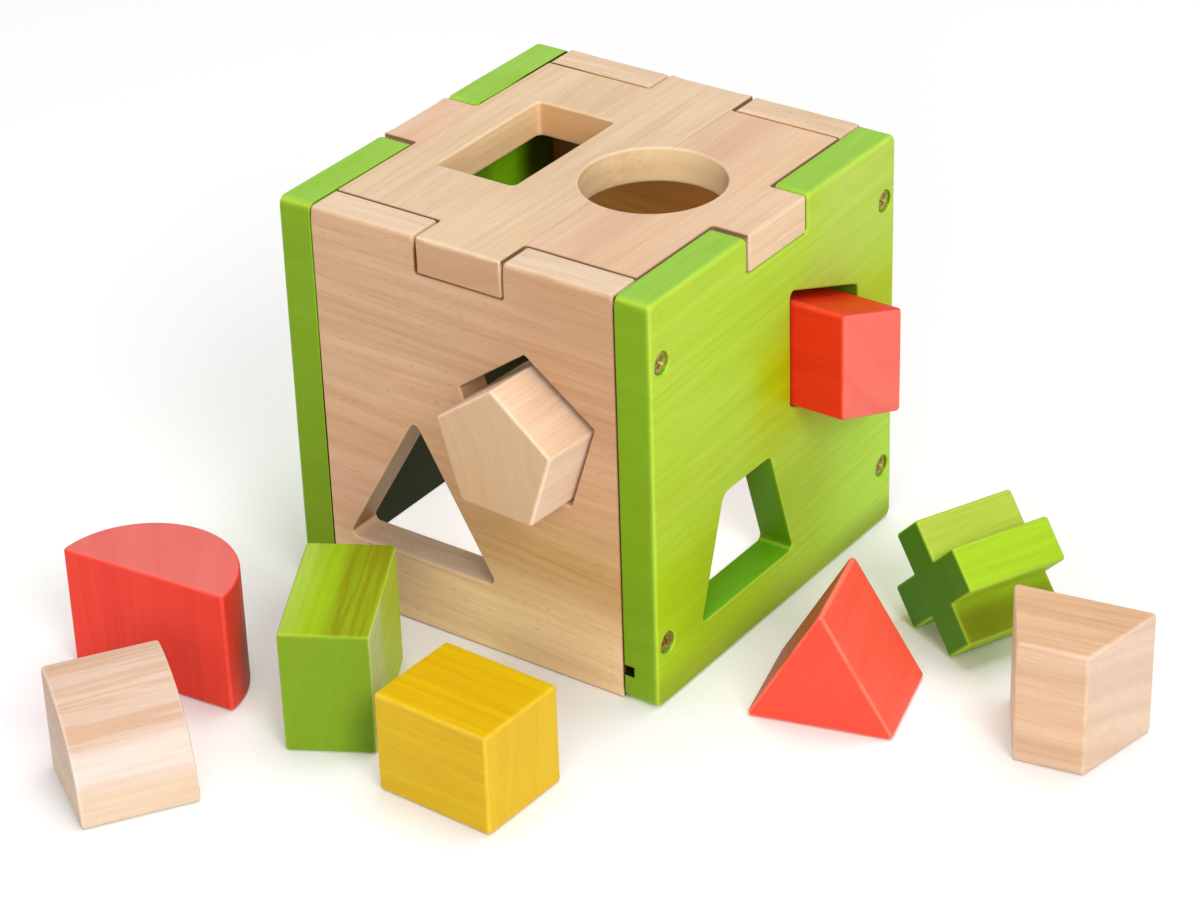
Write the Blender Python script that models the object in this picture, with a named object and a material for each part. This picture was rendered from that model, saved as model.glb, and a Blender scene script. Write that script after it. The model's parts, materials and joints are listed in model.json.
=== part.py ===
"""Wooden shape sorter: a cube of four walls with a lift-off lid, and ten blocks for its ten holes.

Metres, +Z up.  The origin is under the middle of the whole set, on the surface it stands on.
Every place below is measured from the box's own front left bottom corner, which is put at BOX_CORNER.
The front wall faces -Y.  A wall's own frame is seen from outside: u runs to the right, v runs up
and w points out of the wall, with w = 0 on its inner face.
"""
import math

import bmesh
import bpy
from mathutils import Matrix, Vector

MM = 0.001

# The set and the box
BOX_CORNER = Vector((-127.0, 2.7, 0.0)) * MM
BOX_SIDE = 148.0 * MM
BOX_HEIGHT = 150.0 * MM
PANEL = 13.3 * MM
GAP = 0.3 * MM
CUT_PAST = 2.0 * MM
SIDE_CORNER_RADIUS = 3.5 * MM
END_CORNER_RADIUS = 1.0 * MM
ROUND_SEGMENTS = 48
CORNER_STEPS = 4

# Lid: a square plate with a tab in the middle of each side
LID_THICKNESS = 13.1 * MM
LID_CLEARANCE = 0.7 * MM
TAB_WIDTH = 34.0 * MM
TAB_CORNER_RADIUS = 1.0 * MM

# Bottom board, held in a groove that runs round the four walls
BOARD_LOW = 10.0 * MM
BOARD_THICKNESS = 3.0 * MM
GROOVE_DEPTH = 4.0 * MM

# Screws through the two side walls into the ends of the front and back walls
SCREW_HEIGHTS = (23.0 * MM, 127.0 * MM)
SCREW_HEAD_RADIUS = 3.7 * MM
SCREW_SHANK_RADIUS = 1.9 * MM
SCREW_SUNK = 1.0 * MM
SCREW_CONE = 2.4 * MM
SCREW_LENGTH = 24.0 * MM
SCREW_POINT = 3.0 * MM
SCREW_RECESS_HALF = 0.5 * MM
SCREW_RECESS_REACH = 2.0 * MM
SCREW_RECESS_DEPTH = 1.4 * MM
SCREW_SEGMENTS = 24

# Blocks
BLOCK_LENGTH = 45.0 * MM
SHORT_BLOCK_LENGTH = 39.0 * MM
BLOCK_CORNER_RADIUS = 1.0 * MM
HOLE_CORNER_RADIUS = 2.0 * MM
TRIANGLE_SIDE = 51.0 * MM
PENTAGON_RADIUS = 25.0 * MM
RHOMBUS_WIDTH = 37.5 * MM
RHOMBUS_HEIGHT = 39.6 * MM
RHOMBUS_SLOPE = math.radians(-20.8)
TRAPEZOID_LONG = 48.5 * MM
TRAPEZOID_SHORT = 23.7 * MM
TRAPEZOID_HEIGHT = 33.3 * MM
RECTANGLE_WIDTH = 30.2 * MM
RECTANGLE_DEPTH = 56.6 * MM
DISC_RADIUS = 23.4 * MM
HALF_ROUND_RADIUS = 32.5 * MM
QUARTER_ROUND_RADIUS = 39.0 * MM
SQUARE_SIDE = 36.8 * MM
CROSS_REACH = 22.7 * MM
CROSS_HALF_ARM = 8.0 * MM

# Holes, which are larger than their blocks
TRIANGLE_HOLE_SIDE = 62.7 * MM
PENTAGON_HOLE_RADIUS = 28.2 * MM
RHOMBUS_HOLE_WIDTH = 42.5 * MM
RHOMBUS_HOLE_HEIGHT = 43.4 * MM
TRAPEZOID_HOLE_BOTTOM = 56.0 * MM
TRAPEZOID_HOLE_TOP = 28.2 * MM
TRAPEZOID_HOLE_HEIGHT = 42.9 * MM
RECTANGLE_HOLE_WIDTH = 32.0 * MM
RECTANGLE_HOLE_DEPTH = 58.4 * MM
DISC_HOLE_RADIUS = 24.8 * MM
HALF_ROUND_HOLE_RADIUS = 34.0 * MM
QUARTER_ROUND_HOLE_RADIUS = 42.5 * MM
SQUARE_HOLE_SIDE = 40.0 * MM
CROSS_HOLE_REACH = 24.5 * MM
CROSS_HOLE_HALF_ARM = 9.6 * MM
EASED_HOLE_CORNER_RADIUS = 4.5 * MM

# Where each hole is, in its wall's or the lid's (u, v)
TRIANGLE_HOLE_FOOT_MIDDLE = (51.9 * MM, 26.2 * MM)
PENTAGON_HOLE_CENTRE = (98.8 * MM, 90.5 * MM)
TRAPEZOID_HOLE_CORNER = (27.0 * MM, 19.3 * MM)
RHOMBUS_HOLE_CORNER = (81.6 * MM, 75.6 * MM)
SQUARE_HOLE_CORNER = (28.0 * MM, 15.0 * MM)
HALF_ROUND_HOLE_CENTRE = (94.0 * MM, 60.0 * MM)
QUARTER_ROUND_HOLE_CORNER = (20.0 * MM, 52.0 * MM)
CROSS_HOLE_CENTRE = (98.0 * MM, 95.0 * MM)
RECTANGLE_HOLE_CORNER = (30.2 * MM, 47.0 * MM)
DISC_HOLE_CENTRE = (98.8 * MM, 74.9 * MM)

# The two blocks that sit in their holes: how far they stand out, where they are and how the first one leans
PENTAGON_OUT = 18.5 * MM
PENTAGON_LEAN = math.radians(-3.5)
PENTAGON_CENTRE = (99.9 * MM, 89.4 * MM)
RHOMBUS_OUT = 20.0 * MM
RHOMBUS_CORNER = (82.2 * MM, 75.9 * MM)
CYLINDER_CENTRE = (102.0 * MM, 49.5 * MM)

# Where the outline of each loose block has its origin, seen from above, and the way its u points, in degrees
RECTANGLE_PLACE = ((58.9 * MM, -84.4 * MM), 29.0)
TRAPEZOID_PLACE = ((289.0 * MM, 77.0 * MM), 190.0)
HALF_ROUND_PLACE = ((-2.3 * MM, -79.4 * MM), 5.0)
QUARTER_ROUND_PLACE = ((0.3 * MM, -131.8 * MM), -33.5)
SQUARE_PLACE = ((99.0 * MM, -47.7 * MM), -92.0)
TRIANGLE_PLACE = ((173.3 * MM, 13.0 * MM), 15.3)
CROSS_PLACE = ((203.2 * MM, 82.3 * MM), -24.7)

# Colours, as linear values
NATURAL = (0.66, 0.41, 0.25)
PALE = (0.82, 0.70, 0.56)
LID_WOOD = (0.78, 0.56, 0.38)
GREEN = (0.33, 0.55, 0.05)
RED = (0.80, 0.07, 0.04)
YELLOW = (0.76, 0.49, 0.02)
WHITE = (0.86, 0.86, 0.84)
SCREW_STEEL = (0.42, 0.34, 0.16)

UP = Vector((0.0, 0.0, 1.0))


def clear_scene():
    for obj in list(bpy.data.objects):
        bpy.data.objects.remove(obj, do_unlink=True)


def make_material(name, color, roughness, metallic=0.0):
    material = bpy.data.materials.new(name)
    material.use_nodes = True
    shader = material.node_tree.nodes["Principled BSDF"]
    shader.inputs["Base Color"].default_value = (*color, 1.0)
    shader.inputs["Roughness"].default_value = roughness
    shader.inputs["Metallic"].default_value = metallic
    return material


# Outlines: lists of (u, v) points, anticlockwise

def round_corners(points, radius, steps=CORNER_STEPS):
    """Replace each corner with an arc; radius is one number or one for each corner."""
    radii = radius if isinstance(radius, (list, tuple)) else [radius] * len(points)
    result = []
    for index, corner in enumerate(points):
        corner = Vector(corner)
        before = (Vector(points[index - 1]) - corner).normalized()
        after = (Vector(points[(index + 1) % len(points)]) - corner).normalized()
        if radii[index] <= 0.0:
            result.append(tuple(corner))
            continue
        half_angle = before.angle(after) / 2.0
        centre = corner + (before + after).normalized() * radii[index] / math.sin(half_angle)
        start = corner + before * radii[index] / math.tan(half_angle) - centre
        end = corner + after * radii[index] / math.tan(half_angle) - centre
        turn = math.atan2(start.x * end.y - start.y * end.x, start.dot(end))
        for step in range(steps + 1):
            result.append(tuple(centre + Matrix.Rotation(turn * step / steps, 2) @ start))
    return result


def arc(centre, radius, start, end, segments):
    """Points of an arc, with both its ends, in degrees."""
    points = []
    for step in range(segments + 1):
        angle = math.radians(start + (end - start) * step / segments)
        points.append((centre[0] + radius * math.cos(angle), centre[1] + radius * math.sin(angle)))
    return points


def disc(centre, radius, segments=ROUND_SEGMENTS):
    return arc(centre, radius, 0.0, 360.0, segments)[:-1]


def regular(centre, radius, sides):
    """A regular polygon that stands with one corner at its top."""
    step = 360.0 / sides
    return arc(centre, radius, 90.0, 90.0 + 360.0 - step, sides - 1)


def triangle(foot_middle, side):
    """An equal-sided triangle on its foot."""
    centre = (foot_middle[0], foot_middle[1] + side / math.sqrt(12.0))
    return regular(centre, side / math.sqrt(3.0), 3)


def rectangle(corner, width, height):
    left, bottom = corner
    return [(left, bottom), (left + width, bottom), (left + width, bottom + height), (left, bottom + height)]


def trapezoid(corner, long_side, short_side, height):
    left, bottom = corner
    inset = (long_side - short_side) / 2.0
    return [(left, bottom), (left + long_side, bottom),
            (left + long_side - inset, bottom + height), (left + inset, bottom + height)]


def rhombus(corner, width, height, slope):
    left, bottom = corner
    drop = width * math.tan(slope)
    return [(left, bottom), (left + width, bottom + drop),
            (left + width, bottom + drop + height), (left, bottom + height)]


def half_round(centre, radius):
    """A half disc on its flat side."""
    return arc(centre, radius, 0.0, 180.0, ROUND_SEGMENTS // 2)


def quarter_round(corner, radius):
    return [corner] + arc(corner, radius, 0.0, 90.0, ROUND_SEGMENTS // 3)


def cross(centre, reach, half_arm, turn=0.0):
    """A plus shape, turned by an angle in degrees."""
    points = []
    for quarter in range(4):
        spin = Matrix.Rotation(math.radians(90.0 * quarter + turn), 2)
        for point in ((half_arm, -reach), (half_arm, -half_arm), (reach, -half_arm)):
            points.append(tuple(spin @ Vector(point) + Vector(centre)))
    return points


def wall_outline(left, right, corner_radius):
    """A wall with the notch for the lid's tab in its top edge."""
    notch_floor = BOX_HEIGHT - LID_THICKNESS - GAP
    notch_half = TAB_WIDTH / 2.0 + LID_CLEARANCE
    middle = BOX_SIDE / 2.0
    points = [(left, 0.0), (right, 0.0), (right, BOX_HEIGHT), (middle + notch_half, BOX_HEIGHT),
              (middle + notch_half, notch_floor), (middle - notch_half, notch_floor),
              (middle - notch_half, BOX_HEIGHT), (left, BOX_HEIGHT)]
    small = TAB_CORNER_RADIUS
    return round_corners(points, [corner_radius] * 3 + [small] * 4 + [corner_radius])


def lid_outline():
    """A square plate with one tab on each side, made by turning one side four times."""
    middle = BOX_SIDE / 2.0
    plate = middle - PANEL - LID_CLEARANCE
    tab = TAB_WIDTH / 2.0
    side = [(-plate, -plate), (-tab, -plate), (-tab, -middle), (tab, -middle), (tab, -plate)]
    radii = [END_CORNER_RADIUS, TAB_CORNER_RADIUS, TAB_CORNER_RADIUS, TAB_CORNER_RADIUS, TAB_CORNER_RADIUS]
    points = []
    for quarter in range(4):
        spin = Matrix.Rotation(math.radians(90.0 * quarter), 2)
        points += [tuple(spin @ Vector(point) + Vector((middle, middle))) for point in side]
    return round_corners(points, radii * 4)


# Solids

def add_object(name, mesh_source, material=None):
    mesh = bpy.data.meshes.new(name)
    mesh_source.to_mesh(mesh)
    mesh_source.free()
    obj = bpy.data.objects.new(name, mesh)
    bpy.context.scene.collection.objects.link(obj)
    if material is None:
        obj.hide_render = True
        obj.display_type = 'WIRE'
    else:
        mesh.materials.append(material)
        mesh.shade_smooth()
        mesh.set_sharp_from_angle(angle=math.radians(30.0))
    return obj


def put_in_frame(obj, origin, u_axis, v_axis):
    """Place an object drawn in (u, v, w), whose origin is given from the box's corner."""
    w_axis = u_axis.cross(v_axis)
    place = Matrix((u_axis, v_axis, w_axis)).transposed().to_4x4()
    place.translation = BOX_CORNER + origin
    obj.matrix_world = place
    return obj


def prism(name, outline, low, high, material=None):
    """A closed solid with the outline's shape, from w = low to w = high."""
    shape = bmesh.new()
    bottom = shape.faces.new([shape.verts.new((u, v, low)) for u, v in outline])
    swept = bmesh.ops.extrude_face_region(shape, geom=[bottom])
    top = [item for item in swept["geom"] if isinstance(item, bmesh.types.BMVert)]
    bmesh.ops.translate(shape, vec=(0.0, 0.0, high - low), verts=top)
    bmesh.ops.recalc_face_normals(shape, faces=shape.faces)
    return add_object(name, shape, material)


def turned(name, profile, segments, material=None):
    """A solid of revolution about w; the profile's first and last points are on the axis."""
    shape = bmesh.new()
    first = shape.verts.new((0.0, 0.0, profile[0][1]))
    last = shape.verts.new((0.0, 0.0, profile[-1][1]))
    rings = []
    for radius, height in profile[1:-1]:
        rings.append([shape.verts.new((u, v, height)) for u, v in disc((0.0, 0.0), radius, segments)])
    for index in range(segments):
        following = (index + 1) % segments
        shape.faces.new((first, rings[0][following], rings[0][index]))
        shape.faces.new((last, rings[-1][index], rings[-1][following]))
        for near, far in zip(rings, rings[1:]):
            shape.faces.new((near[index], near[following], far[following], far[index]))
    bmesh.ops.recalc_face_normals(shape, faces=shape.faces)
    return add_object(name, shape, material)


def cut(obj, cutter):
    boolean = obj.modifiers.new(cutter.name, 'BOOLEAN')
    boolean.operation = 'DIFFERENCE'
    boolean.solver = 'EXACT'
    boolean.object = cutter


# Box

WALL_FRAMES = {
    "front": (Vector((0.0, PANEL, 0.0)), Vector((1.0, 0.0, 0.0))),
    "right": (Vector((BOX_SIDE - PANEL, 0.0, 0.0)), Vector((0.0, 1.0, 0.0))),
    "back": (Vector((BOX_SIDE, BOX_SIDE - PANEL, 0.0)), Vector((-1.0, 0.0, 0.0))),
    "left": (Vector((PANEL, BOX_SIDE, 0.0)), Vector((0.0, -1.0, 0.0))),
}


def wall_holes():
    """Each wall's two holes: one low on the left and one high on the right, seen from outside."""
    standing = trapezoid(TRAPEZOID_HOLE_CORNER, TRAPEZOID_HOLE_BOTTOM, TRAPEZOID_HOLE_TOP,
                         TRAPEZOID_HOLE_HEIGHT)
    slanted = rhombus(RHOMBUS_HOLE_CORNER, RHOMBUS_HOLE_WIDTH, RHOMBUS_HOLE_HEIGHT, RHOMBUS_SLOPE)
    square = rectangle(SQUARE_HOLE_CORNER, SQUARE_HOLE_SIDE, SQUARE_HOLE_SIDE)
    plus = cross(CROSS_HOLE_CENTRE, CROSS_HOLE_REACH, CROSS_HOLE_HALF_ARM)
    return {
        "front": (round_corners(triangle(TRIANGLE_HOLE_FOOT_MIDDLE, TRIANGLE_HOLE_SIDE), HOLE_CORNER_RADIUS),
                  round_corners(regular(PENTAGON_HOLE_CENTRE, PENTAGON_HOLE_RADIUS, 5), BLOCK_CORNER_RADIUS)),
        "right": (round_corners(standing, [HOLE_CORNER_RADIUS] * 3 + [EASED_HOLE_CORNER_RADIUS]),
                  round_corners(slanted, HOLE_CORNER_RADIUS)),
        "back": (round_corners(square, HOLE_CORNER_RADIUS),
                 half_round(HALF_ROUND_HOLE_CENTRE, HALF_ROUND_HOLE_RADIUS)),
        "left": (quarter_round(QUARTER_ROUND_HOLE_CORNER, QUARTER_ROUND_HOLE_RADIUS),
                 round_corners(plus, BLOCK_CORNER_RADIUS)),
    }


def cut_in_wall(wall, name, outline, low, high, frame):
    cut(wall, put_in_frame(prism(name, outline, low, high), *frame, UP))


def make_walls():
    """Four walls: the side walls run the full depth and hold the front and back walls between them."""
    walls = {}
    holes = wall_holes()
    groove = rectangle((-CUT_PAST, BOARD_LOW - GAP), BOX_SIDE + 2.0 * CUT_PAST, BOARD_THICKNESS + 2.0 * GAP)
    for side, frame in WALL_FRAMES.items():
        full_depth = side in ("left", "right")
        inset = 0.0 if full_depth else PANEL + GAP
        radius = SIDE_CORNER_RADIUS if full_depth else END_CORNER_RADIUS
        color = GREEN if full_depth else NATURAL
        outline = wall_outline(inset, BOX_SIDE - inset, radius)
        material = make_material(f"{side}_wall_wood", color, 0.45)
        wall = put_in_frame(prism(f"{side}_wall", outline, 0.0, PANEL, material), *frame, UP)
        for hole_name, hole in zip(("low", "high"), holes[side]):
            cut_in_wall(wall, f"{side}_{hole_name}_hole", hole, -CUT_PAST, PANEL + CUT_PAST, frame)
        cut_in_wall(wall, f"{side}_groove", groove, -CUT_PAST, GROOVE_DEPTH, frame)
        walls[side] = wall
    return walls


def make_board():
    """The thin bottom board, whose edges sit in the walls' grooves."""
    edge = PANEL - GROOVE_DEPTH + GAP
    outline = rectangle((edge, edge), BOX_SIDE - 2.0 * edge, BOX_SIDE - 2.0 * edge)
    board = prism("bottom_board", outline, BOARD_LOW, BOARD_LOW + BOARD_THICKNESS,
                  make_material("board_white", WHITE, 0.5))
    put_in_frame(board, Vector((0.0, 0.0, 0.0)), Vector((1.0, 0.0, 0.0)), Vector((0.0, 1.0, 0.0)))


def make_lid():
    """The lift-off lid, with its rectangular and its round hole."""
    level = (Vector((0.0, 0.0, BOX_HEIGHT - LID_THICKNESS)), Vector((1.0, 0.0, 0.0)), Vector((0.0, 1.0, 0.0)))
    wood = make_material("lid_wood", LID_WOOD, 0.45)
    lid = put_in_frame(prism("lid", lid_outline(), 0.0, LID_THICKNESS, wood), *level)
    oblong = rectangle(RECTANGLE_HOLE_CORNER, RECTANGLE_HOLE_WIDTH, RECTANGLE_HOLE_DEPTH)
    holes = {"lid_oblong_hole": round_corners(oblong, HOLE_CORNER_RADIUS),
             "lid_round_hole": disc(DISC_HOLE_CENTRE, DISC_HOLE_RADIUS)}
    for name, outline in holes.items():
        cut(lid, put_in_frame(prism(name, outline, -CUT_PAST, LID_THICKNESS + CUT_PAST), *level))


def screw_profile(extra, top):
    """Radius and depth from the tip to the top of the head, grown by extra for the hole round it."""
    cone_end = SCREW_SUNK + SCREW_CONE
    head = SCREW_HEAD_RADIUS + extra
    shank = SCREW_SHANK_RADIUS + extra
    profile = [(0.0, -SCREW_LENGTH - extra), (shank, SCREW_POINT - SCREW_LENGTH), (shank, -cone_end)]
    profile += [(head, -SCREW_SUNK)] if extra == 0.0 else [(head, -SCREW_SUNK - extra), (head, top)]
    return profile + [(0.0, top)]


def make_screws(walls):
    """Four screws in each side wall, one at each end of the front and back walls."""
    for side in ("left", "right"):
        outward = WALL_FRAMES[side][1].cross(UP)
        face = BOX_SIDE if side == "right" else 0.0
        for end, depth in (("front", PANEL / 2.0), ("back", BOX_SIDE - PANEL / 2.0)):
            for level, height in zip(("low", "high"), SCREW_HEIGHTS):
                name = f"{side}_screw_{end}_{level}"
                frame = (Vector((face, depth, height)), UP.cross(outward), UP)
                steel = make_material(f"{name}_steel", SCREW_STEEL, 0.4, 1.0)
                screw = turned(name, screw_profile(0.0, -SCREW_SUNK), SCREW_SEGMENTS, steel)
                put_in_frame(screw, *frame)
                recess = cross((0.0, 0.0), SCREW_RECESS_REACH, SCREW_RECESS_HALF)
                drive = prism(f"{name}_recess", recess, -SCREW_SUNK - SCREW_RECESS_DEPTH, CUT_PAST)
                cut(screw, put_in_frame(drive, *frame))
                bore = turned(f"{name}_bore", screw_profile(GAP, CUT_PAST), SCREW_SEGMENTS)
                put_in_frame(bore, *frame)
                cut(walls[side], bore)
                cut(walls[end], bore)


# Blocks

def block(name, outline, length, color, origin, u_axis, v_axis=UP, radius=BLOCK_CORNER_RADIUS):
    """A straight block: its outline in the (u, v) plane, swept by its length along w."""
    shape = round_corners(outline, radius) if radius else outline
    wood = make_material(f"{name}_wood", color, 0.5)
    put_in_frame(prism(name, shape, 0.0, length, wood), Vector(origin), u_axis, v_axis)


def heading(degrees):
    return Vector((math.cos(math.radians(degrees)), math.sin(math.radians(degrees)), 0.0))


def standing_block(name, outline, color, place, radius=BLOCK_CORNER_RADIUS):
    """A block that stands on one of its ends."""
    (x, y), turn = place
    block(name, outline, BLOCK_LENGTH, color, (x, y, 0.0), heading(turn), heading(turn + 90.0), radius)


def lying_block(name, outline, length, color, place, radius=BLOCK_CORNER_RADIUS):
    """A block on its side: its near end starts at the place, and it runs away at a right angle to u."""
    (x, y), turn = place
    far_end = Vector((x, y, 0.0)) + heading(turn + 90.0) * length
    block(name, outline, length, color, far_end, heading(turn), UP, radius)


def make_loose_blocks():
    """The seven blocks that lie round the box."""
    own_corner = (0.0, 0.0)
    oblong = rectangle(own_corner, RECTANGLE_WIDTH, RECTANGLE_DEPTH)
    wedge = trapezoid(own_corner, TRAPEZOID_LONG, TRAPEZOID_SHORT, TRAPEZOID_HEIGHT)
    quarter = quarter_round(own_corner, QUARTER_ROUND_RADIUS)
    square = rectangle(own_corner, SQUARE_SIDE, SQUARE_SIDE)
    roof = triangle((TRIANGLE_SIDE / 2.0, 0.0), TRIANGLE_SIDE)
    standing_block("rectangle_block", oblong, GREEN, RECTANGLE_PLACE)
    standing_block("trapezoid_block", wedge, NATURAL, TRAPEZOID_PLACE)
    standing_block("half_round_block", half_round(own_corner, HALF_ROUND_RADIUS), RED, HALF_ROUND_PLACE, 0.0)
    lying_block("quarter_round_block", quarter, SHORT_BLOCK_LENGTH, PALE, QUARTER_ROUND_PLACE, 0.0)
    lying_block("square_block", square, BLOCK_LENGTH, YELLOW, SQUARE_PLACE)
    lying_block("triangle_block", roof, SHORT_BLOCK_LENGTH, RED, TRIANGLE_PLACE)
    rest_height = (CROSS_REACH + CROSS_HALF_ARM) / math.sqrt(2.0)
    plus = cross((0.0, rest_height), CROSS_REACH, CROSS_HALF_ARM, 45.0)
    lying_block("cross_block", plus, SHORT_BLOCK_LENGTH, GREEN, CROSS_PLACE, 0.0)


def make_held_blocks():
    """The two blocks that are part way into their holes, and the round one inside the box."""
    lean = Vector((math.cos(PENTAGON_LEAN), math.sin(PENTAGON_LEAN), 0.0))
    x, z = PENTAGON_CENTRE
    inner_end = Vector((x, 0.0, z)) - lean.cross(UP) * (BLOCK_LENGTH - PENTAGON_OUT)
    block("pentagon_block", regular((0.0, 0.0), PENTAGON_RADIUS, 5), BLOCK_LENGTH, PALE, inner_end, lean)
    slanted = rhombus((0.0, 0.0), RHOMBUS_WIDTH, RHOMBUS_HEIGHT, RHOMBUS_SLOPE)
    y, z = RHOMBUS_CORNER
    block("rhombus_block", slanted, BLOCK_LENGTH, RED, (BOX_SIDE + RHOMBUS_OUT - BLOCK_LENGTH, y, z),
          Vector((0.0, 1.0, 0.0)))
    x, y = CYLINDER_CENTRE
    block("cylinder_block", disc((0.0, 0.0), DISC_RADIUS), BLOCK_LENGTH, YELLOW,
          (x, y, BOARD_LOW + BOARD_THICKNESS + GAP), heading(0.0), heading(90.0), 0.0)


def main():
    clear_scene()
    walls = make_walls()
    make_board()
    make_lid()
    make_screws(walls)
    make_held_blocks()
    make_loose_blocks()


main()
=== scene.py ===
"""Looks of the wooden shape sorter: rounded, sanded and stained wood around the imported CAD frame.

Every wooden piece is built again from the outline of its own CAD solid.  The outline's corners are
softened, it is swept along the piece with a sanded rounding at each end, and it gets a wood material
whose fibres run the way the real piece was sawn.
"""
import json
import math
import random
from typing import NamedTuple

import bmesh
import bpy
from mathutils import Matrix, Vector, geometry, noise

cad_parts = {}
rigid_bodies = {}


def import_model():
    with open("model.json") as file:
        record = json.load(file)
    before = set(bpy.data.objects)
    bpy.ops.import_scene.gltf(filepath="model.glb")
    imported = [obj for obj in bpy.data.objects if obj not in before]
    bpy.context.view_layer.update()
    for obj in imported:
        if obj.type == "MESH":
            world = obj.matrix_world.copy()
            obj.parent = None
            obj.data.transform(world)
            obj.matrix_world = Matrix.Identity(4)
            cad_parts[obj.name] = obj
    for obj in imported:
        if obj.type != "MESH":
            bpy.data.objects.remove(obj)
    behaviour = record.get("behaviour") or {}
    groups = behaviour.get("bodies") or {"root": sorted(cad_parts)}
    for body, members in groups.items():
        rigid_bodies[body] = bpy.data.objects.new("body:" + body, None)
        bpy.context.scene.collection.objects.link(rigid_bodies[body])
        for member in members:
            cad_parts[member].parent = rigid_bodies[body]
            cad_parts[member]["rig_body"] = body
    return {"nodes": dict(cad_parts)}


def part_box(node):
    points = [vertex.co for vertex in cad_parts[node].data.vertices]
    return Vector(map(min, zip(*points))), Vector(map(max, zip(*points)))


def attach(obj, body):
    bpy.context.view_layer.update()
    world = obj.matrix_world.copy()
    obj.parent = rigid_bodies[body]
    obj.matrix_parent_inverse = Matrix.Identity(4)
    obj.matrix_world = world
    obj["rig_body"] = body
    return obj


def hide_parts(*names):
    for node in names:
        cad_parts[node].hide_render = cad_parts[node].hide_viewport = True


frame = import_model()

MM = 0.001
UP = Vector((0.0, 0.0, 1.0))
RIGHT = Vector((1.0, 0.0, 0.0))
BACK = Vector((0.0, 1.0, 0.0))

# Reading the CAD outlines
WELD = 0.01 * MM
LARGE_FACE = 0.12               # a main face is at least this share of the largest one
FLATNESS = 0.05 * MM
KEY_DIGITS = 2                  # normals that agree to this many digits belong to one face
SHORTEST_SIDE = 2.5 * MM        # shorter edges belong to the arc of a rounded corner
CURVE_TURN = math.radians(20.0) # a smaller turn is a step of a curve and not a corner
STRAIGHT_TURN = math.radians(0.4)
BORE_GIRTH = 40.0 * MM          # a shorter loop is the mouth of a screw's bore

# Sanded roundings
CORNER_STEPS = 6
EDGE_STEPS = 4
STRAIGHT_STEP = 4.0 * MM
CORNER_SHARE = 0.92             # an edge is rounded a little less than the corner it runs into
EDGE_GROWTH = 0.5               # and grows to its full rounding this fast away from it
NO_LIMIT = 1.0                  # far more than any rounding
LEAST_MITRE = 0.5
SANDING_VARIATION = 0.22
SANDING_LENGTH = 26.0 * MM
SMOOTH_ANGLE = math.radians(38.0)

CONCAVE_RADIUS = 0.4 * MM
BLOCK_CORNER = 1.4 * MM
BLOCK_EDGE = 1.2 * MM
BOX_EDGE = 1.7 * MM
INNER_EDGE = 0.5 * MM
SEAM_EDGE = 0.6 * MM
FOOT_EDGE = 1.0 * MM
WORN_RADIUS = 0.8 * MM          # a larger rounding is rubbed pale, and a smaller one at a seam gets painted shade
# how far into a seam its painted shade reaches
SEAM_SHADE_REACH = 1.6 * MM
HOLE_EDGE = 0.9 * MM
LID_UNDER_EDGE = 1.5 * MM
SIDE_NOTCH_CORNER = 3.0 * MM
END_NOTCH_CORNER = 1.6 * MM

# The groove for the bottom board, and the screws and their bores
GROOVE_GAP = 0.3 * MM
CUT_PAST = 2.0 * MM
SCREW_SHANK_RADIUS = 1.9 * MM
SCREW_CONE = 2.4 * MM
SCREW_RIM = 0.25 * MM
SCREW_POINT = 3.0 * MM
THREAD_PITCH = 1.5 * MM
THREAD_DEPTH = 0.4 * MM
SCREW_SEGMENTS = 40
BORE_GAP = 0.3 * MM
BORE_CHAMFER = 0.5 * MM
RECESS_HALF = 0.55 * MM
RECESS_REACH = 2.1 * MM
RECESS_DEPTH = 1.5 * MM
RECESS_TAPER = 0.55

# Looks
FIBRE_TILT = 0.04               # how far the walls' fibres lean
BOARD_GLOW = 0.65               # painted light: the board's top glows, which keeps it white in the shade inside the box

BOX_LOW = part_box("left_wall")[0]
BOX_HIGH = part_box("right_wall")[1]


# ---------------------------------------------------------------- outlines of the CAD solids

class Corner(NamedTuple):
    point: Vector
    turn: float
    radius: float


class RimPoint(NamedTuple):
    point: Vector
    wear: float


class Outline(NamedTuple):
    rim: list
    corners: list
    is_hole: bool


def main_directions(node):
    """The outward directions of a solid's large faces."""
    sums = {}
    for face in frame["nodes"][node].data.polygons:
        key = tuple(round(value, KEY_DIGITS) + 0.0 for value in face.normal)
        sums[key] = sums.get(key, Vector()) + face.normal * face.area
    largest = max(total.length for total in sums.values())
    return [total.normalized() for total in sums.values() if total.length > LARGE_FACE * largest]


def main_direction(node, hint):
    """The direction of the solid's large face that is closest to the hint."""
    return max(main_directions(node), key=hint.dot)


def end_loops(node, place):
    """The loops round a solid's end face at its high w, and how far the solid reaches along w.

    Each loop has the material on its left.
    """
    shape = bmesh.new()
    shape.from_mesh(frame["nodes"][node].data)
    bmesh.ops.remove_doubles(shape, verts=shape.verts, dist=WELD)
    bmesh.ops.transform(shape, matrix=place.inverted(), verts=shape.verts)
    heights = [vert.co.z for vert in shape.verts]
    low, high = min(heights), max(heights)
    for face in shape.faces:
        face.tag = all(vert.co.z > high - FLATNESS for vert in face.verts)
    following = {}
    for face in shape.faces:
        for loop in face.loops:
            if face.tag and not loop.link_loop_radial_next.face.tag:
                following[loop.vert] = loop.link_loop_next.vert
    loops = []
    while following:
        vert, after = following.popitem()
        points = [vert.co.xy.copy()]
        while after in following:
            points.append(after.co.xy.copy())
            after = following.pop(after)
        loops.append(points)
    shape.free()
    return loops, low, high


def turn_between(before, after):
    return math.atan2(before.x * after.y - before.y * after.x, before.dot(after))


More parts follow.
